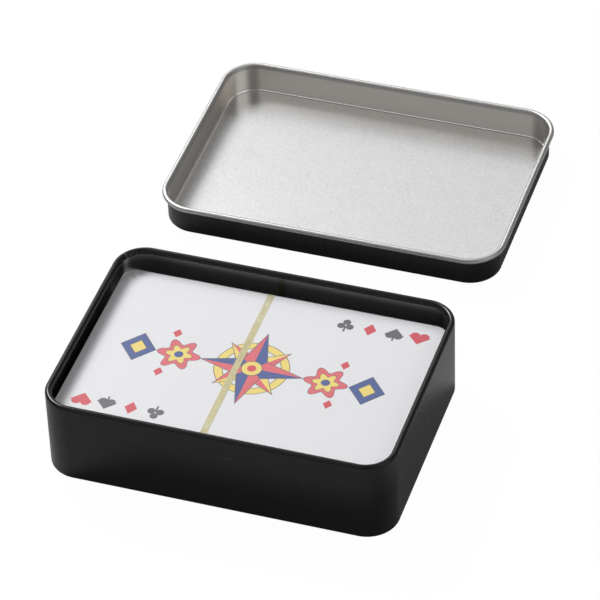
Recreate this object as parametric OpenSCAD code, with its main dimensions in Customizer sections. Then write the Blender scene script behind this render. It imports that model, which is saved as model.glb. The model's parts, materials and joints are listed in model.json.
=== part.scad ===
// Playing card tin, open: a drawn black base with its wrapped deck inside, and the slip lid
// lying upside down behind it. Millimetres. The origin is the centre of the base's underside,
// +X runs along the long side, +Y points at the lid and +Z is up.

/* [Playing cards] */
// Length of one card
card_l = 88; // [80:0.5:100]
// Width of one card
card_w = 57; // [50:0.5:70]
// Thickness of one card
card_t = 0.34; // [0.25:0.01:0.4]
// Radius of a card's corners
card_corner_r = 3.5; // [3:0.1:6]
// Air left between one card and the next
card_air = 0.002; // [0.001:0.001:0.01]

/* [Clear wrap and tear tape] */
// Thickness of the clear film
film_t = 0.03; // [0.02:0.01:0.1]
// Thickness of the tear tape under the film
tape_t = 0.03; // [0.02:0.01:0.06]
// Width of the tear tape
tape_w = 1.8; // [1:0.1:4]
// Middle of the tear tape, measured from the middle of the pack
tape_x = -4; // [-20:0.5:20]
// Play of the tear tape on each of its faces
tape_play = 0.01; // [0.005:0.005:0.03]
// How far each end flap of the film reaches over the pack's short end
flap_reach = 10.5; // [5:0.5:12]
// Height of the overlap where the film is sealed along the pack's long side
seam_h = 6; // [3:0.5:10]

/* [Tin sheet] */
// Thickness of the tinplate
sheet_t = 0.23; // [0.18:0.01:0.3]
// Angle left open between the end of a rolled edge and the wall
curl_open = 60; // [45:5:120]

/* [Base] */
// Least gap between the pack's short end and the rolled rim
end_gap = 0.2; // [0.15:0.01:1.5]
// Gap between the pack's long side and the rolled rim
side_gap = 2.35; // [1:0.05:5]
// Least gap between the pack's upright corners and the rolled rim
corner_gap = 0.01; // [0.01:0.01:0.5]
// Depth of the top of the pack below the rim
head_room = 5.1; // [3:0.1:12]
// Outer radius of the base's upright corners
base_corner_r = 8.4; // [6:0.1:12]
// Outer radius of the base's bottom edge
base_edge_r = 0.8; // [0.5:0.1:2]
// Diameter of the base's inward rolled rim
rim_bead_d = 1.75; // [1.4:0.05:2.4]
// Shift of the pack along the tin, as it lies in the base
pack_shift_x = -0.1; // [-0.1:0.01:0.1]
// Shift of the pack across the tin, as it lies in the base
pack_shift_y = -0.1; // [-0.5:0.05:0.5]

/* [Lid] */
// Clearance of the slip lid on each long side of the base
slip_gap = 0.08; // [0.05:0.01:0.4]
// Clearance of the slip lid at each short end of the base
lid_end_gap = 0.8; // [0.05:0.05:1.5]
// Depth of the lid
lid_depth = 9.2; // [6:0.1:16]
// Outer radius of the lid's edge round its closed face
lid_edge_r = 0.8; // [0.5:0.1:2]
// Diameter of the lid's outward rolled rim
lid_bead_d = 1.5; // [1.2:0.1:2.2]
// Clear table between the base's wall and the lid's wall
lid_space = 34.7; // [5:0.1:100]
// Sideways shift of the lid on the table
lid_shift_x = -2.7; // [-20:0.1:20]

/* [Hidden] */
$fn = 96;
// The floor and the bend round it share this much, so that they are one sheet
floor_lap = 0.4;

suits = ["hearts", "clubs", "diamonds", "spades"];
ranks = ["king", "queen", "jack", "ten", "nine", "eight", "seven",
         "six", "five", "four", "three", "two", "ace"];
suit_cards = [for (suit = suits) for (rank = ranks) str(rank, "_of_", suit)];
card_names = concat(suit_cards, ["second_joker", "first_joker"]);

// The deck, counted from the lowest card up
card_count = len(card_names);
card_pitch = card_t + card_air;
deck_h = card_count * card_t + (card_count - 1) * card_air;

// The film stands off the deck by the tape and its play
film_gap = tape_t + 2 * tape_play;
film_off = film_gap + film_t;
flap_layers = 2;
pack_l = card_l + 2 * (film_off + flap_layers * film_t);
pack_w = card_w + 2 * film_off;
pack_h = deck_h + 2 * film_off;
end_flat_w = card_w - 2 * card_corner_r;
long_flat_l = card_l - 2 * card_corner_r;

// The base is as wide as the pack and its gaps, and as long as the pack's ends need, or as
// its corners need to pass the round corners of the rim
base_w = pack_w + 2 * (side_gap + rim_bead_d);
pack_corner_r = card_corner_r + film_off;
corner_play = base_corner_r - rim_bead_d - pack_corner_r - corner_gap;
corner_dy = max(0, base_corner_r - rim_bead_d - pack_corner_r - side_gap + abs(pack_shift_y));
corner_dx = sqrt(max(0, corner_play * corner_play - corner_dy * corner_dy));
half_l_at_ends = pack_l / 2 + end_gap + rim_bead_d;
half_l_at_corners = card_l / 2 - card_corner_r + abs(pack_shift_x) - corner_dx + base_corner_r;
base_l = 2 * max(half_l_at_ends, half_l_at_corners);
base_h = sheet_t + pack_h + head_room;

// The lid slips over the base, with more play at the short ends
lid_l = base_l + 2 * (lid_end_gap + sheet_t);
lid_w = base_w + 2 * (slip_gap + sheet_t);
lid_corner_r = base_corner_r + slip_gap + sheet_t;
lid_y = base_w / 2 + lid_space + lid_w / 2;

black_paint = [0.06, 0.06, 0.065];
bare_tin = [0.72, 0.72, 0.71];
card_white = [0.93, 0.93, 0.94];
clear_film = [0.85, 0.9, 0.95, 0.35];
gold_tape = [0.72, 0.64, 0.26];

// A rectangle with round corners, centred on the origin
module rounded_rect(l, w, r) {
  square([l - 2 * r, w], center = true);
  square([l, w - 2 * r], center = true);
  for (x = [-1, 1])
    for (y = [-1, 1])
      translate([x * (l / 2 - r), y * (w / 2 - r)])
        circle(r);
}

// Carries a section round a rounded rectangle. The section's x is 0 on the outline and
// negative inside it, and its y becomes the height.
module around(l, w, r) {
  for (side = [0:3]) {
    out = side % 2 == 0 ? l : w;
    along = side % 2 == 0 ? w : l;
    rotate([0, 0, 90 * side]) {
      translate([out / 2 - r, 0, 0])
        rotate([90, 0, 0])
          linear_extrude(height = 2 * (along / 2 - r), center = true)
            translate([r, 0])
              children();
      translate([out / 2 - r, along / 2 - r, 0])
        rotate_extrude(angle = 90)
          translate([r, 0])
            children();
    }
  }
}

// Section of an upright wall, the bend at its foot and the rim of the floor that it grows from
module wall_section(edge_r, top) {
  translate([-edge_r - floor_lap, 0])
    square([floor_lap, sheet_t]);
  translate([-sheet_t, edge_r])
    square([sheet_t, top - edge_r]);
  translate([-edge_r, edge_r])
    difference() {
      intersection() {
        circle(edge_r);
        translate([0, -edge_r])
          square(edge_r);
      }
      circle(edge_r - sheet_t);
    }
}

// Section of a rolled edge: it leaves the wall at +x and turns over the top, open at its end
module curl_section(d) {
  difference() {
    circle(d = d);
    circle(d = d - 2 * sheet_t);
    polygon(concat([[0, 0]], [for (step = [0:2]) d * [cos(step * curl_open / 2), -sin(step * curl_open / 2)]]));
  }
}

module floor_plate(l, w, corner_r, edge_r) {
  linear_extrude(sheet_t)
    rounded_rect(l - 2 * edge_r, w - 2 * edge_r, corner_r - edge_r);
}

module tin_base() {
  bead_r = rim_bead_d / 2;
  color(black_paint)
    union() {
      floor_plate(base_l, base_w, base_corner_r, base_edge_r);
      around(base_l, base_w, base_corner_r) {
        wall_section(base_edge_r, base_h - bead_r);
        translate([-bead_r, base_h - bead_r])
          curl_section(rim_bead_d);
      }
    }
}

module tin_lid() {
  bead_r = lid_bead_d / 2;
  color(bare_tin)
    translate([lid_shift_x, lid_y, 0])
      union() {
        floor_plate(lid_l, lid_w, lid_corner_r, lid_edge_r);
        around(lid_l, lid_w, lid_corner_r) {
          wall_section(lid_edge_r, lid_depth - bead_r);
          translate([bead_r - sheet_t, lid_depth - bead_r])
            mirror([1, 0])
              curl_section(lid_bead_d);
        }
      }
}

// Places what belongs to the pack, from the middle of the pack's underside
module in_pack() {
  translate([pack_shift_x, pack_shift_y, sheet_t])
    children();
}

// One end flap of the film, flat on the pack's short end, widest at its fold
module end_flap(layers) {
  linear_extrude(layers * film_t)
    polygon([[-end_flat_w / 2, 0], [end_flat_w / 2, 0],
             [end_flat_w / 2 - flap_reach, flap_reach], [flap_reach - end_flat_w / 2, flap_reach]]);
}

module wrap_film() {
  film_l = card_l + 2 * film_off;
  color(clear_film)
    in_pack()
      union() {
        difference() {
          linear_extrude(pack_h)
            rounded_rect(film_l, pack_w, card_corner_r + film_off);
          translate([0, 0, film_t])
            linear_extrude(pack_h - 2 * film_t)
              rounded_rect(card_l + 2 * film_gap, card_w + 2 * film_gap, card_corner_r + film_gap);
        }
        for (turn = [0, 180])
          rotate([0, 0, turn])
            translate([film_l / 2, 0, 0])
              rotate([90, 0, 90]) {
                end_flap(1);
                translate([0, pack_h, 0])
                  mirror([0, 1, 0])
                    end_flap(flap_layers);
              }
        translate([0, -pack_w / 2 - film_t / 2, pack_h / 2])
          cube([long_flat_l, film_t, seam_h], center = true);
      }
}

module tear_tape() {
  inner_w = card_w + 2 * tape_play;
  inner_h = deck_h + 2 * tape_play;
  color(gold_tape)
    in_pack()
      translate([tape_x, 0, pack_h / 2])
        difference() {
          cube([tape_w, inner_w + 2 * tape_t, inner_h + 2 * tape_t], center = true);
          cube([2 * tape_w, inner_w, inner_h], center = true);
        }
}

module playing_card(place) {
  color(card_white)
    in_pack()
      translate([0, 0, film_off + place * card_pitch])
        linear_extrude(card_t)
          rounded_rect(card_l, card_w, card_corner_r);
}

tin_base();
tin_lid();
wrap_film();
tear_tape();
for (place = [0:card_count - 1])
  playing_card(place);
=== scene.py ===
"""Playing card tin, open, with its wrapped deck inside and its slip lid lying upside down behind it.
Lengths are named in millimetres and turned into metres where a mesh or a node needs them."""

import json
import math

import bmesh
import bpy
from mathutils import Matrix, Vector


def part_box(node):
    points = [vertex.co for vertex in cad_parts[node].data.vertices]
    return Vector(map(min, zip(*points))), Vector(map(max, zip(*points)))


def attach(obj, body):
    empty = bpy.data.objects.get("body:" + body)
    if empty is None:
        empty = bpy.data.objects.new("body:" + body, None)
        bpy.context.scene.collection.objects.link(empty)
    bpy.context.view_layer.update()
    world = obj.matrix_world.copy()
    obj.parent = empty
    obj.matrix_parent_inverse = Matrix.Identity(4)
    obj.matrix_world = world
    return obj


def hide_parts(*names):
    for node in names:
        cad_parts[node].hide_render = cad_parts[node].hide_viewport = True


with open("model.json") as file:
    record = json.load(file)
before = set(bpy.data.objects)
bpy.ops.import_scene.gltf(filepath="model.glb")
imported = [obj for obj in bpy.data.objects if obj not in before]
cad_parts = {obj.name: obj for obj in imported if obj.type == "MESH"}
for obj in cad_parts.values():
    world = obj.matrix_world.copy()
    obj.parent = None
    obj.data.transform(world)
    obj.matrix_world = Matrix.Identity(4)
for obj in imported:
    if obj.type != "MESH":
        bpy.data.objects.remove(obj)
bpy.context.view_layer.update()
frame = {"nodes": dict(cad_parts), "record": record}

MM = 0.001

# Sizes shared with the CAD model, where no node's box gives them
SHEET_T = 0.23
BASE_CORNER_R = 8.4
BASE_EDGE_R = 0.8
RIM_BEAD_R = 0.875
LID_EDGE_R = 0.8
LID_BEAD_R = 0.75
CURL_OPEN_DEGREES = 60
CARD_CORNER_R = 3.5
CARD_PITCH = 0.342
FILM_CORNER_R = CARD_CORNER_R + 0.08
FILM_T = 0.03
FLAP_REACH = 10.5
SEAM_H = 6.0

# Steps that cut a rounded rectangle's corner, a rolled edge, and the bend at a wall's foot
CORNER_STEPS = 28
ROLL_STEPS = 26
EDGE_STEPS = 8


def box_mm(node):
    """Lowest corner, highest corner and middle of a CAD node, in millimetres."""
    low, high = (Vector(corner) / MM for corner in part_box(node))
    return low, high, (low + high) / 2


BASE_LOW, BASE_HIGH, BASE_MID = box_mm("tin_base")
LID_LOW, LID_HIGH, LID_MID = box_mm("tin_lid")
PACK_LOW, PACK_HIGH, PACK_MID = box_mm("wrap_film")
CARD_LOW, CARD_HIGH, CARD_MID = box_mm("first_joker")
TAPE_MID = box_mm("tear_tape")[2]


# Materials


class Number:
    """A number that shader nodes work out at each point of a surface."""

    def __init__(self, tree, value):
        self.tree = tree
        self.value = value

    def apply(self, operation, *others):
        node = self.tree.nodes.new("ShaderNodeMath")
        node.operation = operation
        for slot, number in zip(node.inputs, (self, *others)):
            value = number.value if isinstance(number, Number) else number
            if isinstance(value, bpy.types.NodeSocket):
                self.tree.links.new(value, slot)
            else:
                slot.default_value = value
        return Number(self.tree, node.outputs[0])

    def __add__(self, other):
        return self.apply("ADD", other)

    def __sub__(self, other):
        return self.apply("SUBTRACT", other)

    def __mul__(self, other):
        return self.apply("MULTIPLY", other)

    def __truediv__(self, other):
        return self.apply("DIVIDE", other)

    def __abs__(self):
        return self.apply("ABSOLUTE")

    def __neg__(self):
        return self * -1

    def least(self, other):
        return self.apply("MINIMUM", other)

    def most(self, other):
        return self.apply("MAXIMUM", other)

    def root(self):
        return self.apply("SQRT")

    def wrapped(self, period):
        return self.apply("FLOORED_MODULO", period)

    def ramp(self, low, high):
        """0 where the number is at low, 1 at high, and smooth between."""
        node = self.tree.nodes.new("ShaderNodeMapRange")
        node.interpolation_type = "SMOOTHSTEP"
        self.tree.links.new(self.value, node.inputs["Value"])
        node.inputs["From Min"].default_value = low
        node.inputs["From Max"].default_value = high
        return Number(self.tree, node.outputs["Result"])


class Finish:
    """A material with one Principled shader, and the nodes that drive it."""

    def __init__(self, name, base_color, roughness, metallic=0.0, ior=1.5):
        self.material = bpy.data.materials.new(name)
        self.material.use_nodes = True
        self.tree = self.material.node_tree
        self.nodes, self.links = self.tree.nodes, self.tree.links
        self.shader = self.nodes["Principled BSDF"]
        self.output = self.nodes["Material Output"]
        self.shader.inputs["Base Color"].default_value = (*base_color, 1)
        self.shader.inputs["Roughness"].default_value = roughness
        self.shader.inputs["Metallic"].default_value = metallic
        self.shader.inputs["IOR"].default_value = ior
        self.position = self.nodes.new("ShaderNodeTexCoord").outputs["Object"]

    def axes(self, middle=(0, 0, 0)):
        """Place along X, Y and Z in millimetres, counted from middle."""
        split = self.nodes.new("ShaderNodeSeparateXYZ")
        self.links.new(self.position, split.inputs[0])
        return [Number(self.tree, out) * (1 / MM) - start for out, start in zip(split.outputs, middle)]

    def noise(self, size, detail=2.0, stretch=(1, 1, 1)):
        """Noise from 0 to 1 whose marks are about size millimetres across, and stretch times that."""
        mapping = self.nodes.new("ShaderNodeMapping")
        self.links.new(self.position, mapping.inputs["Vector"])
        mapping.inputs["Scale"].default_value = [1 / (size * MM * s) for s in stretch]
        texture = self.nodes.new("ShaderNodeTexNoise")
        self.links.new(mapping.outputs[0], texture.inputs["Vector"])
        texture.inputs["Scale"].default_value = 1
        texture.inputs["Detail"].default_value = detail
        return Number(self.tree, texture.outputs["Fac"])

    def blend(self, amount, first, second):
        """first where amount is 0, and second where it is 1. Each is a colour or a colour socket."""
        node = self.nodes.new("ShaderNodeMix")
        node.data_type = "RGBA"
        self.links.new(amount.value, node.inputs["Factor"])
        for socket, tint in zip(("A", "B"), (first, second)):
            target = next(i for i in node.inputs if i.name == socket and i.type == "RGBA")
            if isinstance(tint, bpy.types.NodeSocket):
                self.links.new(tint, target)
            else:
                target.default_value = (*tint, 1)
        return next(o for o in node.outputs if o.type == "RGBA")

    def paint(self, colour):
        self.links.new(colour, self.shader.inputs["Base Color"])

    def roughen(self, number):
        self.links.new(number.value, self.shader.inputs["Roughness"])

    def bump(self, height, depth):
        """Height from 0 to 1 raises the surface by depth millimetres."""
        node = self.nodes.new("ShaderNodeBump")
        node.inputs["Strength"].default_value = 1
        node.inputs["Distance"].default_value = depth * MM
        self.links.new(height.value, node.inputs["Height"])
        self.links.new(node.outputs[0], self.shader.inputs["Normal"])


def spot(x, y, z, place, radius):
    """1 inside a small ball round a place, fading to 0 at its edge."""
    dx, dy, dz = (n - p for n, p in zip((x, y, z), place))
    return (dx * dx + dy * dy + dz * dz).root().ramp(radius, radius * 0.4)


BLACK = (0.005, 0.0048, 0.0054)
SCUFF_AND_GLINT_BLACK = (0.09, 0.09, 0.092)
DOT_BLACK = (0.002, 0.002, 0.002)
# Places of a crease across the rim at the far left corner, painted lighter as a glint, of ticks on the
# two far rims, and of a dot and a scuff on the front wall
RIM_CREASE = (-44.0, 28.0, 23.65)
CREASE_SLANT = (0.69, 0.72)
RIM_TICK = (12.6, 31.1, 22.85)
LID_TICK = (-8.7, 132.4, 9.1)
FRONT_DOT = (5.5, -32.68, 18.6)
FRONT_SCUFF = (3.8, -32.68, 18.0)


def black_lacquer():
    """Satin black lacquer over tinplate, with its fine orange peel, a few handling marks, and a crease
    across the rim painted lighter as a glint.
    """
    f = Finish("black lacquer", BLACK, 0.3, ior=1.42)
    x, y, z = f.axes()
    cloud = f.noise(9, 3)
    peel = f.noise(0.5, 2)
    crease_line = abs((x - RIM_CREASE[0]) * CREASE_SLANT[0] + (y - RIM_CREASE[1]) * CREASE_SLANT[1])
    crease = crease_line.ramp(0.24, 0.06) * spot(x, y, z, RIM_CREASE, 1.7)
    tick = spot(x, (y - RIM_TICK[1]) / 2, z, (RIM_TICK[0], 0, RIM_TICK[2]), 0.4)
    scuff = spot((x - FRONT_SCUFF[0]) / 11, y - FRONT_SCUFF[1], z - FRONT_SCUFF[2], (0, 0, 0), 0.3)
    marks = crease.most(tick).most(scuff * 0.3)
    dot = spot(x, y, z, FRONT_DOT, 0.35)
    # The crease's lighter colour is a painted glint; the tick and the scuff are lighter marks of their
    # own.
    f.paint(f.blend(dot, f.blend(marks, BLACK, SCUFF_AND_GLINT_BLACK), DOT_BLACK))
    f.roughen(cloud * 0.08 + 0.24 + marks * 0.25)
    f.bump(peel * 0.5 + crease * 0.7, 0.006)
    return f.material


# Heights between which the base's inside goes from its coat's grey to a painted light just under the rim
PAINTED_LIGHT_FROM_Z, PAINTED_LIGHT_FULL_Z = 18.8, 21.6
# Height at which the lid's wall goes over into its rolled rim
CURL_FOOT_Z = LID_HIGH.z - 2 * LID_BEAD_R


def dulled_tinplate():
    """The base's inside: a dull grey coat that still shines like metal, with a painted light just under
    the rim.
    """
    f = Finish("dulled tinplate", (0.5, 0.5, 0.5), 0.25, metallic=1.0)
    z = f.axes()[2]
    cloud = f.noise(7, 3)
    coat = f.blend(cloud, (0.4, 0.4, 0.4), (0.48, 0.48, 0.48))
    # Painted light: near white just under the rim, fading to the coat's grey toward the deck.
    f.paint(f.blend(z.ramp(PAINTED_LIGHT_FROM_Z, PAINTED_LIGHT_FULL_Z), coat, (0.94, 0.94, 0.94)))
    f.roughen(cloud * 0.06 + 0.22)
    f.bump(f.noise(0.5, 2), 0.003)
    return f.material


def bare_tinplate():
    """Stone-finished tinplate: matte, with a fine grain that runs no way in particular. The drawn
    wall is tinted warm as a painted reflection, the bend at its foot is polished and painted lighter as a
    highlight line, and the rolled rim is coloured darker and made rougher."""
    f = Finish("bare tinplate", (0.7, 0.7, 0.7), 0.45, metallic=1.0)
    x, y, z = f.axes()
    grain = f.noise(0.55, 3)
    fine = f.noise(0.28, 1)
    cloud = f.noise(11, 3)
    tick = spot(x, y, z, LID_TICK, 0.5)
    speckle = grain * 0.55 + fine * 0.45
    flat = f.blend(speckle.ramp(0.3, 0.7), (0.63, 0.63, 0.632), (0.76, 0.76, 0.765))
    # Painted reflection: the drawn wall is tinted warm.
    wall = f.blend(speckle, (0.68, 0.642, 0.594), (0.78, 0.736, 0.682))
    rolled = f.blend(speckle, (0.49, 0.485, 0.475), (0.59, 0.585, 0.575))
    bend = z.ramp(SHEET_T + 0.03, SHEET_T + 0.13) * z.ramp(LID_EDGE_R + 0.04, LID_EDGE_R - 0.06)
    curl = z.ramp(CURL_FOOT_Z - 0.2, CURL_FOOT_Z + 0.3)
    drawn = f.blend(curl, f.blend(z.ramp(0.7, 0.9), flat, wall), rolled)
    # Painted highlight: the bend at the wall's foot is painted near white.
    f.paint(f.blend(bend, drawn, (0.95, 0.94, 0.92)))
    f.roughen(cloud * 0.04 + grain * 0.08 + 0.24 + tick * 0.2 + curl * 0.14 - bend * 0.16)
    f.bump(grain * 0.6 + fine * 0.4, 0.012)
    return f.material


CARD_WHITE = (0.88, 0.875, 0.895)


def darker(tint, share):
    return tuple(c * share for c in tint)


def card_stock():
    """Coated card. On the deck's sides a darker line shows where one card meets the next."""
    f = Finish("card stock", CARD_WHITE, 0.45)
    z = f.axes(CARD_LOW)[2]
    near_joint = abs(z.wrapped(CARD_PITCH) - CARD_PITCH / 2)
    joint = near_joint.ramp(0.11, 0.166)
    fibre = f.blend(f.noise(0.6, 3), CARD_WHITE, darker(CARD_WHITE, 0.96))
    f.paint(f.blend(joint * 0.8, fibre, darker(CARD_WHITE, 0.62)))
    f.bump(f.noise(0.5, 1, stretch=(1, 1, 0.6)), 0.006)
    return f.material


INK_RED = (0.72, 0.07, 0.095)
INK_PINK = (0.8, 0.14, 0.17)
INK_YELLOW = (0.95, 0.75, 0.19)
INK_BLUE = (0.045, 0.1, 0.33)
INK_GREY = (0.12, 0.12, 0.13)
# Width over which an ink's edge fades, and width of a motif's outline
INK_EDGE = 0.06
OUTLINE_W = 0.2
# Places of the motifs, counted from the card's middle
LOZENGE_X = 30.5
ROSETTE_X = 19.6
CHIP_X, CHIP_Y = 22.5, 7.6
PIP_Y = 22.4
PIP_SIZE = 4.8
HALF_ROOT_2 = 0.7071


def length(x, y):
    return (x * x + y * y).root()


def disc(x, y, radius):
    return length(x, y) - radius


def lozenge(x, y, half_l, half_w):
    """Distance to a lozenge's edge, less than 0 inside it."""
    slope = half_l * half_w / math.hypot(half_l, half_w)
    return (abs(x) / half_l + abs(y) / half_w - 1) * slope


def star(x, y, points, outer, inner):
    """Distance to a star's edge, and the side of each ray that a point is on."""
    turn = 2 * math.pi / points
    angle = y.apply("ARCTAN2", x)
    folded = abs((angle + turn / 2).wrapped(turn) - turn / 2)
    radius = length(x, y)
    fx, fy = radius * folded.apply("COSINE"), radius * folded.apply("SINE")
    ix, iy = inner * math.cos(turn / 2), inner * math.sin(turn / 2)
    edge = math.hypot(outer - ix, iy)
    distance = ((fx - outer) * iy + fy * (outer - ix)) / edge
    return distance, (angle + turn / 2).wrapped(turn) - turn / 2


def petals(x, y, count, radius, swell):
    """Distance to a rosette of round petals."""
    angle = y.apply("ARCTAN2", x)
    return length(x, y) - radius - (angle * count).apply("COSINE") * swell


def heart(x, y, size):
    lobes = disc(abs(x) - size * 0.25, y - size * 0.2, size * 0.28)
    point = ((abs(x) - (y - size * 0.1)) * HALF_ROOT_2 - size * 0.385).most(y - size * 0.2)
    return lobes.least(point)


def spade(x, y, size):
    leaf = heart(x, -y + size * 0.08, size * 0.9)
    stem = (abs(x) - size * 0.06).most(abs(y + size * 0.32) - size * 0.2)
    return leaf.least(stem)


def club(x, y, size):
    side = disc(abs(x) - size * 0.24, y + size * 0.08, size * 0.22)
    top = disc(x, y - size * 0.26, size * 0.22)
    stem = (abs(x) - size * 0.06).most(abs(y + size * 0.28) - size * 0.24)
    return side.least(top).least(stem)


def lozenge_pip(x, y, size):
    return lozenge(x, y, size * 0.36, size * 0.48)


# The suit pips and their places along the card
PIPS = (
    (37.5, heart, INK_RED),
    (31, spade, INK_GREY),
    (24.5, lozenge_pip, INK_RED),
    (18, club, INK_GREY),
)


def printed_card():
    """The top card: a compass star on a gold ring between rosettes and lozenges, with suit pips at
    two corners. Half a turn about the card's middle carries the print onto itself."""
    f = Finish("printed card", CARD_WHITE, 0.4)
    x, y = f.axes(CARD_MID)[:2]
    ink = f.blend(f.noise(0.6, 3), CARD_WHITE, darker(CARD_WHITE, 0.985))

    def print_shape(under, distance, tint, outline=None):
        if outline:
            under = f.blend(distance.ramp(OUTLINE_W, OUTLINE_W - INK_EDGE), under, outline)
        return f.blend(distance.ramp(0, -INK_EDGE), under, tint)

    half_turn = x.apply("SIGN")
    near_x, near_y = x * half_turn, y * half_turn
    for half_l, half_w, tint in ((4.6, 5.2, INK_BLUE), (2.2, 2.5, INK_YELLOW)):
        ink = print_shape(ink, lozenge(near_x - LOZENGE_X, near_y, half_l, half_w), tint, INK_GREY)
    for chip_y in (CHIP_Y, -CHIP_Y):
        ink = print_shape(ink, lozenge(near_x - CHIP_X, near_y - chip_y, 1.3, 1.7), INK_RED)
    for radius, swell, tint in ((4.6, 1.1, INK_PINK), (2.8, 0.7, INK_YELLOW)):
        ink = print_shape(ink, petals(near_x - ROSETTE_X, near_y, 6, radius, swell), tint, INK_GREY)
    ink = print_shape(ink, disc(near_x - ROSETTE_X, near_y, 1.2), INK_BLUE)
    ink = print_shape(ink, disc(x, y, 9.6), INK_YELLOW, INK_GREY)
    ink = print_shape(ink, disc(x, y, 7.4), CARD_WHITE, INK_GREY)
    diagonal_x, diagonal_y = (x + y) * HALF_ROOT_2, (y - x) * HALF_ROOT_2
    short_rays, short_side = star(diagonal_x, diagonal_y, 4, 11.0, 3.8)
    ink = print_shape(ink, short_rays, INK_YELLOW, INK_GREY)
    ink = print_shape(ink, short_rays.most(short_side * 60), INK_PINK)
    long_rays, long_side = star(x, y, 4, 13.4, 4.4)
    ink = print_shape(ink, long_rays, INK_PINK, INK_GREY)
    ink = print_shape(ink, long_rays.most(long_side * 60), INK_BLUE)
    ink = print_shape(ink, disc(x, y, 2.6), INK_YELLOW, INK_GREY)
    ink = print_shape(ink, disc(x, y, 1.2), INK_RED)
    for pip_x, pip, tint in PIPS:
        ink = print_shape(ink, pip(near_x - pip_x, near_y - PIP_Y, PIP_SIZE), tint)
    f.paint(ink)
    f.bump(f.noise(0.5, 1), 0.003)
    return f.material


def gold_tape():
    """Thin olive-gold tape, printed unevenly along its length, with a darker line near each edge."""
    f = Finish("gold tape", (0.6, 0.55, 0.33), 0.4, metallic=0.15)
    blotch = f.noise(1.1, 2, stretch=(0.6, 1.3, 1.3))
    drift = f.noise(14, 2)
    x = f.axes(TAPE_MID)[0]
    margin = abs(abs(x) - 0.72).ramp(0.16, 0.06)
    middle = abs(x).ramp(0.5, 0.3)
    print_marks = middle * blotch.ramp(0.46, 0.56)
    gold = f.blend(drift.ramp(0.35, 0.65), (0.6, 0.54, 0.3), (0.68, 0.63, 0.42))
    gold = f.blend(print_marks * 0.5, gold, (0.42, 0.36, 0.13))
    f.paint(f.blend(margin * 0.45, gold, (0.42, 0.37, 0.16)))
    return f.material


# Folded film stands up at the deck's far left corner
EAR = (-43.4, 27.8, 19.0)


def clear_film():
    """Clear film: the light goes straight through, less what its surface reflects."""
    f = Finish("clear film", (1, 1, 1), 0.1, metallic=1.0)
    x, y, z = f.axes()
    clear = f.nodes.new("ShaderNodeBsdfTransparent")
    clear.inputs["Color"].default_value = (0.985, 0.988, 0.992, 1)
    facing = f.nodes.new("ShaderNodeLayerWeight")
    facing.inputs["Blend"].default_value = 0.5
    slant = Number(f.tree, facing.outputs["Facing"])
    folds = spot(x, y, z, EAR, 5.5)
    share = slant.apply("POWER", 5) * 0.96 + 0.04 + folds * 0.07
    mix = f.nodes.new("ShaderNodeMixShader")
    f.links.new(share.value, mix.inputs["Fac"])
    f.links.new(clear.outputs[0], mix.inputs[1])
    f.links.new(f.shader.outputs[0], mix.inputs[2])
    f.links.new(mix.outputs[0], f.output.inputs["Surface"])
    return f.material


# Swept sheet metal


def arc(cx, cz, radius, start, end, steps):
    """Points of an arc in a section, with angles in degrees from the outward direction."""
    angles = (math.radians(start + (end - start) * k / steps) for k in range(steps + 1))
    return [(cx + radius * math.cos(a), cz + radius * math.sin(a)) for a in angles]


def stations(length_mm, width_mm, corner_r, straight_step=None):
    """Points and outward directions round a rounded rectangle, anticlockwise. The straight sides
    are cut about every straight_step millimetres, or not at all."""
    found = []
    for quarter in range(4):
        sx = 1 if quarter in (0, 3) else -1
        sy = 1 if quarter in (0, 1) else -1
        middle = Vector((sx * (length_mm / 2 - corner_r), sy * (width_mm / 2 - corner_r)))
        for k in range(CORNER_STEPS + 1):
            angle = math.radians(90 * (quarter + k / CORNER_STEPS))
            out = Vector((math.cos(angle), math.sin(angle)))
            found.append((middle + out * corner_r, out))
        if straight_step:
            straight = (length_mm if quarter % 2 == 0 else width_mm) - 2 * corner_r
            along = Vector((-out.y, out.x))
            cuts = round(straight / straight_step)
            found += [(found[-1][0] + along * straight * k / cuts, out) for k in range(1, cuts)]
    return found


def mesh_object(name, work, materials):
    """An object from a finished bmesh."""
    bmesh.ops.recalc_face_normals(work, faces=work.faces)
    mesh = bpy.data.meshes.new(name)
    work.to_mesh(mesh)
    work.free()
    for material in materials:
        mesh.materials.append(material)
    piece = bpy.data.objects.new(name, mesh)
    bpy.context.scene.collection.objects.link(piece)
    return piece


def drawn_shell(name, size, corner_r, middle, outer, inner, materials):
    """A sheet-metal shell. outer and inner are the two faces of its section, from floor to curl end,
    as points (out from the wall's outer face, height). materials are for outer, inner and the cut edge."""
    work = bmesh.new()
    section = outer + inner[::-1]
    rings = []
    for point, out in stations(*size, corner_r):
        places = (Vector((*(point + out * offset), height)) + middle for offset, height in section)
        rings.append([work.verts.new(place * MM) for place in places])
    last_outer = len(outer) - 1
    for here, there in zip(rings, rings[1:] + rings[:1]):
        for k in range(len(section) - 1):
            face = work.faces.new((here[k], there[k], there[k + 1], here[k + 1]))
            face.smooth = k != last_outer
            face.material_index = 0 if k < last_outer else 2 if k == last_outer else 1
    work.faces.new([ring[0] for ring in reversed(rings)])
    floor_top = work.faces.new([ring[-1] for ring in rings])
    floor_top.material_index = 1
    return mesh_object(name, work, materials)


def wall_section(edge_r, height):
    """The outer and inner faces of a wall and the bend at its foot, up to a height."""
    outer = arc(-edge_r, edge_r, edge_r, -90, 0, EDGE_STEPS) + [(0, height)]
    inner = arc(-edge_r, edge_r, edge_r - SHEET_T, -90, 0, EDGE_STEPS) + [(-SHEET_T, height)]
    return outer, inner


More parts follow.
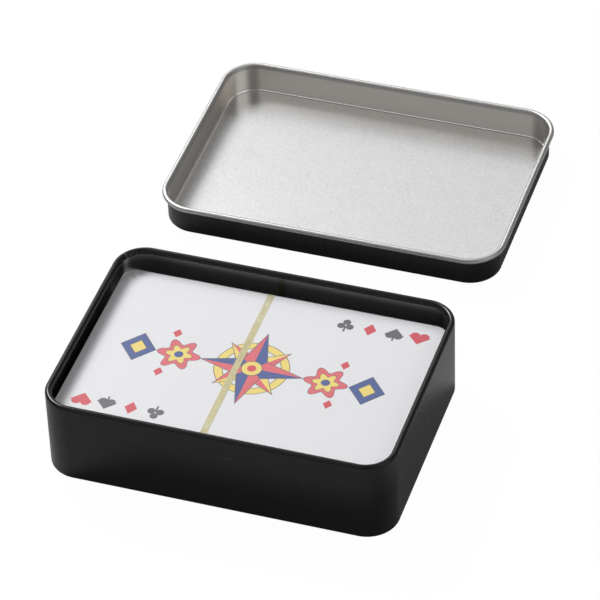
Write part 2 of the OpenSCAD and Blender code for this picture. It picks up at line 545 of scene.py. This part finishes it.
def make_base(black, inside):
    size = (BASE_HIGH - BASE_LOW).xy
    roll_z = BASE_HIGH.z - RIM_BEAD_R
    outer, inner = wall_section(BASE_EDGE_R, roll_z)
    end = 360 - CURL_OPEN_DEGREES
    outer += arc(-RIM_BEAD_R, roll_z, RIM_BEAD_R, 0, end, ROLL_STEPS)[1:]
    inner += arc(-RIM_BEAD_R, roll_z, RIM_BEAD_R - SHEET_T, 0, end, ROLL_STEPS)[1:]
    middle = Vector((BASE_MID.x, BASE_MID.y, 0))
    shell = drawn_shell("base_shell", size, BASE_CORNER_R, middle, outer, inner, (black, inside, black))
    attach(shell, "base")
    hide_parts("tin_base")


def make_lid(black, tinplate):
    bead_out = 2 * LID_BEAD_R - SHEET_T
    size = (LID_HIGH - LID_LOW).xy - Vector((2 * bead_out, 2 * bead_out))
    corner_r = BASE_CORNER_R + (size.y - (BASE_HIGH - BASE_LOW).y) / 2
    roll_x, roll_z = LID_BEAD_R - SHEET_T, LID_HIGH.z - LID_BEAD_R
    outer, inner = wall_section(LID_EDGE_R, roll_z)
    end = CURL_OPEN_DEGREES - 180
    outer += arc(roll_x, roll_z, LID_BEAD_R - SHEET_T, 180, end, ROLL_STEPS)[1:]
    inner += arc(roll_x, roll_z, LID_BEAD_R, 180, end, ROLL_STEPS)[1:]
    middle = Vector((LID_MID.x, LID_MID.y, 0))
    shell = drawn_shell("lid_shell", size, corner_r, middle, outer, inner, (black, tinplate, tinplate))
    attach(shell, "lid")
    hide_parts("tin_lid")


# The wrapped deck


FILM_EDGE_R = 0.25
# Below its top, over this height, the film follows the fold at the far left corner
FOLD_H = 4.0
# The fold's height and reach, those of its pleats and how close they stand, and the share and
# reach of its pull to the corner
EAR_RISE, EAR_REACH = 0.55, 4.5
PLEAT_RISE, PLEAT_REACH, PLEAT_TURNS = 0.2, 8, 15
EAR_PULL, PULL_REACH = 0.75, 2.2
# Rings of the film's flat top, from its edge to its middle, and the length of their cuts
TOP_RINGS = 40
CUT_L = 1.2


def folded(x, y):
    """How far the film stands up at a place counted from the deck's middle, and the share by which it
    is pulled to the far left corner there. Pleats fan out from that corner, where the wrap is folded."""
    half_l, half_w = PACK_HIGH.x - PACK_MID.x, PACK_HIGH.y - PACK_MID.y
    away_x, away_y = x + half_l, half_w - y
    reach = math.hypot(away_x, away_y)
    angle = math.atan2(away_y, away_x)
    ear = EAR_RISE * math.exp(-((reach / EAR_REACH) ** 2))
    pleat = 0.5 + 0.5 * math.sin(angle * PLEAT_TURNS + reach * 0.2)
    pleats = PLEAT_RISE * math.exp(-((reach / PLEAT_REACH) ** 2)) * pleat * min(1.0, reach / 2.5)
    return ear + pleats, math.exp(-((reach / PULL_REACH) ** 2))


def plate(work, low, high, shrink):
    """A thin plate between two corners. shrink narrows its far edge, on each side, along Y."""
    (x0, y0, z0), (x1, y1, z1) = low, high
    corners = []
    for x in (x0, x1):
        corners.append([(x, y0, z0), (x, y1, z0), (x, y1 - shrink, z1), (x, y0 + shrink, z1)])
    verts = [[work.verts.new(Vector(c) * MM) for c in side] for side in corners]
    work.faces.new(verts[0])
    work.faces.new(verts[1][::-1])
    for k in range(4):
        n = (k + 1) % 4
        work.faces.new((verts[0][n], verts[0][k], verts[1][k], verts[1][n]))


def make_film(material):
    """The film: one skin round the deck, with folded flaps on its short ends and a seam at the front."""
    half_x = (PACK_HIGH.x - PACK_LOW.x) / 2 - 2 * FILM_T
    half_y = CARD_HIGH.y - CARD_MID.y + FILM_CORNER_R - CARD_CORNER_R
    middle = CARD_MID.xy
    side = arc(-FILM_EDGE_R, PACK_LOW.z + FILM_EDGE_R, FILM_EDGE_R, -90, 0, 4)
    side += [(0, PACK_HIGH.z - FOLD_H), (0, PACK_HIGH.z - 1.5)]
    side += arc(-FILM_EDGE_R, PACK_HIGH.z - FILM_EDGE_R, FILM_EDGE_R, 0, 90, 4)
    outline = stations(2 * half_x, 2 * half_y, FILM_CORNER_R, CUT_L)
    ear_tip = Vector((-half_x, half_y))
    work = bmesh.new()
    rings = []
    for offset, z in side:
        ring = []
        top = max(0.0, (z - PACK_HIGH.z + FOLD_H) / FOLD_H)
        for point, out in outline:
            flat = point + out * offset
            rise, pull = folded(*flat)
            flat = flat.lerp(ear_tip, EAR_PULL * pull * top)
            ring.append(work.verts.new(Vector((*(flat + middle), z + rise * top ** 4)) * MM))
        rings.append(ring)
    for k in range(1, TOP_RINGS):
        share = (1 - k / TOP_RINGS) ** 1.5
        ring = []
        for point, out in outline:
            flat = (point - out * FILM_EDGE_R) * share
            rise, pull = folded(*flat)
            flat = flat.lerp(ear_tip, EAR_PULL * pull)
            ring.append(work.verts.new(Vector((*(flat + middle), PACK_HIGH.z + rise)) * MM))
        rings.append(ring)
    count = len(outline)
    for low, high in zip(rings, rings[1:]):
        for k in range(count):
            n = (k + 1) % count
            work.faces.new((low[k], low[n], high[n], high[k])).smooth = True
    work.faces.new(rings[0][::-1])
    work.faces.new(rings[-1]).smooth = True
    flat_y = half_y - FILM_CORNER_R
    for sign in (-1, 1):
        end = middle.x + sign * half_x
        flaps = (
            (FILM_T, PACK_LOW.z + 0.3, PACK_LOW.z + FLAP_REACH),
            (2 * FILM_T, PACK_HIGH.z - 0.3, PACK_HIGH.z - FLAP_REACH),
        )
        for thick, start, stop in flaps:
            low = (end, middle.y - flat_y, start)
            high = (end + sign * thick, middle.y + flat_y, stop)
            plate(work, low, high, FLAP_REACH * 0.95)
    seam_y = middle.y - half_y
    seam_low = Vector((middle.x - half_x + FILM_CORNER_R, seam_y - FILM_T, PACK_MID.z - SEAM_H / 2))
    seam_high = Vector((middle.x + half_x - FILM_CORNER_R, seam_y, PACK_MID.z + SEAM_H / 2))
    plate(work, seam_low, seam_high, 0)
    piece = mesh_object("film_wrap", work, [material])
    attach(piece, "pack")
    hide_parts("wrap_film")


def repaint(node, material):
    """A CAD node keeps its shape and takes another material."""
    mesh = frame["nodes"][node].data
    mesh.materials.clear()
    mesh.materials.append(material)


# Studio


def make_camera():
    """The photograph's camera: a long lens from the front right, looking down at about 41 degrees."""
    focal_px, picture_px, sensor_mm = 3681.0, 600, 36
    azimuth, elevation, roll = (math.radians(a) for a in (19.284, 40.764, -2.179))
    distance, right_mm, up_mm = 944.8, 11.567, 31.505
    flat = math.cos(elevation)
    away = Vector((flat * math.sin(azimuth), -flat * math.cos(azimuth), math.sin(elevation)))
    right = (-away).cross(Vector((0, 0, 1))).normalized()
    up = away.cross(right).normalized()
    turned_right = right * math.cos(roll) + up * math.sin(roll)
    turned_up = up * math.cos(roll) - right * math.sin(roll)
    place = (away * distance + turned_right * right_mm + turned_up * up_mm) * MM
    data = bpy.data.cameras.new("camera")
    data.sensor_width = sensor_mm
    data.lens = focal_px / picture_px * sensor_mm
    data.clip_end = 20
    camera = bpy.data.objects.new("camera", data)
    turn = Matrix((turned_right, turned_up, away)).transposed().to_4x4()
    camera.matrix_world = Matrix.Translation(place) @ turn
    bpy.context.scene.collection.objects.link(camera)
    bpy.context.scene.camera = camera


# The floor's true grey, its glow where it is seen, and the shares of that glow that a camera and a
# gloss see. What is left shows the light and the shadows that fall on it.
FLOOR_GREY = 0.55
FLOOR_GLOW = 1.03
GLOW_SEEN = 0.95
GLOW_IN_GLOSS = 0.03


def make_floor():
    """A pale floor. Cameras see it as white, less a trace of the object's shadow."""
    material = bpy.data.materials.new("pale floor")
    material.use_nodes = True
    tree = material.node_tree
    nodes, links = tree.nodes, tree.links
    nodes.remove(nodes["Principled BSDF"])
    matte = nodes.new("ShaderNodeBsdfDiffuse")
    matte.inputs["Color"].default_value = (FLOOR_GREY, FLOOR_GREY, FLOOR_GREY, 1)
    white = nodes.new("ShaderNodeEmission")
    white.inputs["Strength"].default_value = FLOOR_GLOW
    path = nodes.new("ShaderNodeLightPath")
    seen = Number(tree, path.outputs["Is Camera Ray"]) * GLOW_SEEN
    seen = seen + Number(tree, path.outputs["Is Transmission Ray"]) * GLOW_SEEN
    seen = seen + Number(tree, path.outputs["Is Glossy Ray"]) * GLOW_IN_GLOSS
    mix = nodes.new("ShaderNodeMixShader")
    links.new(seen.value, mix.inputs["Fac"])
    links.new(matte.outputs[0], mix.inputs[1])
    links.new(white.outputs[0], mix.inputs[2])
    links.new(mix.outputs[0], nodes["Material Output"].inputs["Surface"])
    bpy.ops.mesh.primitive_plane_add(size=6, location=(0, 0, -0.00002))
    floor = bpy.context.object
    floor.name = "floor"
    floor.data.materials.append(material)


# Strength of the world as a light, and as what a gloss reflects
AMBIENT = 0.15
SEEN_IN_GLOSS = 0.2


def make_world():
    """White to the camera, greyer to what reflects it, and a soft even light on what stands in it."""
    world = bpy.data.worlds.new("studio")
    bpy.context.scene.world = world
    world.use_nodes = True
    tree = world.node_tree
    path = tree.nodes.new("ShaderNodeLightPath")
    camera, through, gloss = (
        Number(tree, path.outputs[f"Is {kind} Ray"]) for kind in ("Camera", "Transmission", "Glossy")
    )
    strength = camera.most(through) * (1 - AMBIENT) + gloss * (SEEN_IN_GLOSS - AMBIENT) + AMBIENT
    background = tree.nodes["Background"]
    background.inputs["Color"].default_value = (1, 1, 1, 1)
    tree.links.new(strength.value, background.inputs["Strength"])


# Middle of the lit object, in metres
LIT_PLACE = Vector((0, 0.04, 0.01))


def soft_box(name, place, width, height, power):
    """A soft light of a size and at a place in metres, facing the object. Its power is in watts."""
    data = bpy.data.lights.new(name, "AREA")
    data.shape = "RECTANGLE"
    data.size, data.size_y = width, height
    data.energy = power
    light = bpy.data.objects.new(name, data)
    light.location = place
    light.rotation_euler = (LIT_PLACE - Vector(place)).to_track_quat("-Z", "Y").to_euler()
    bpy.context.scene.collection.objects.link(light)


black = black_lacquer()
make_base(black, dulled_tinplate())
make_lid(black, bare_tinplate())
make_film(clear_film())
repaint("tear_tape", gold_tape())
plain_stock = card_stock()
for node in frame["record"]["behaviour"]["bodies"]["pack"]:
    if node not in ("wrap_film", "tear_tape"):
        repaint(node, plain_stock)
repaint("first_joker", printed_card())

make_floor()
make_world()
soft_box("key from the left", (-0.96, 0.72, 1.23), 0.68, 0.45, 22.6)
soft_box("panel behind", (-0.6, 1.08, 1.1), 1.8, 1.2, 4.4)
soft_box("fill from the front", (-0.5, -1.3, 1.3), 1.3, 0.9, 2.0)
soft_box("fill from the right", (1.3, -0.3, 1.1), 1.3, 1.2, 4)
make_camera()
bpy.context.scene.view_settings.view_transform = "Standard"
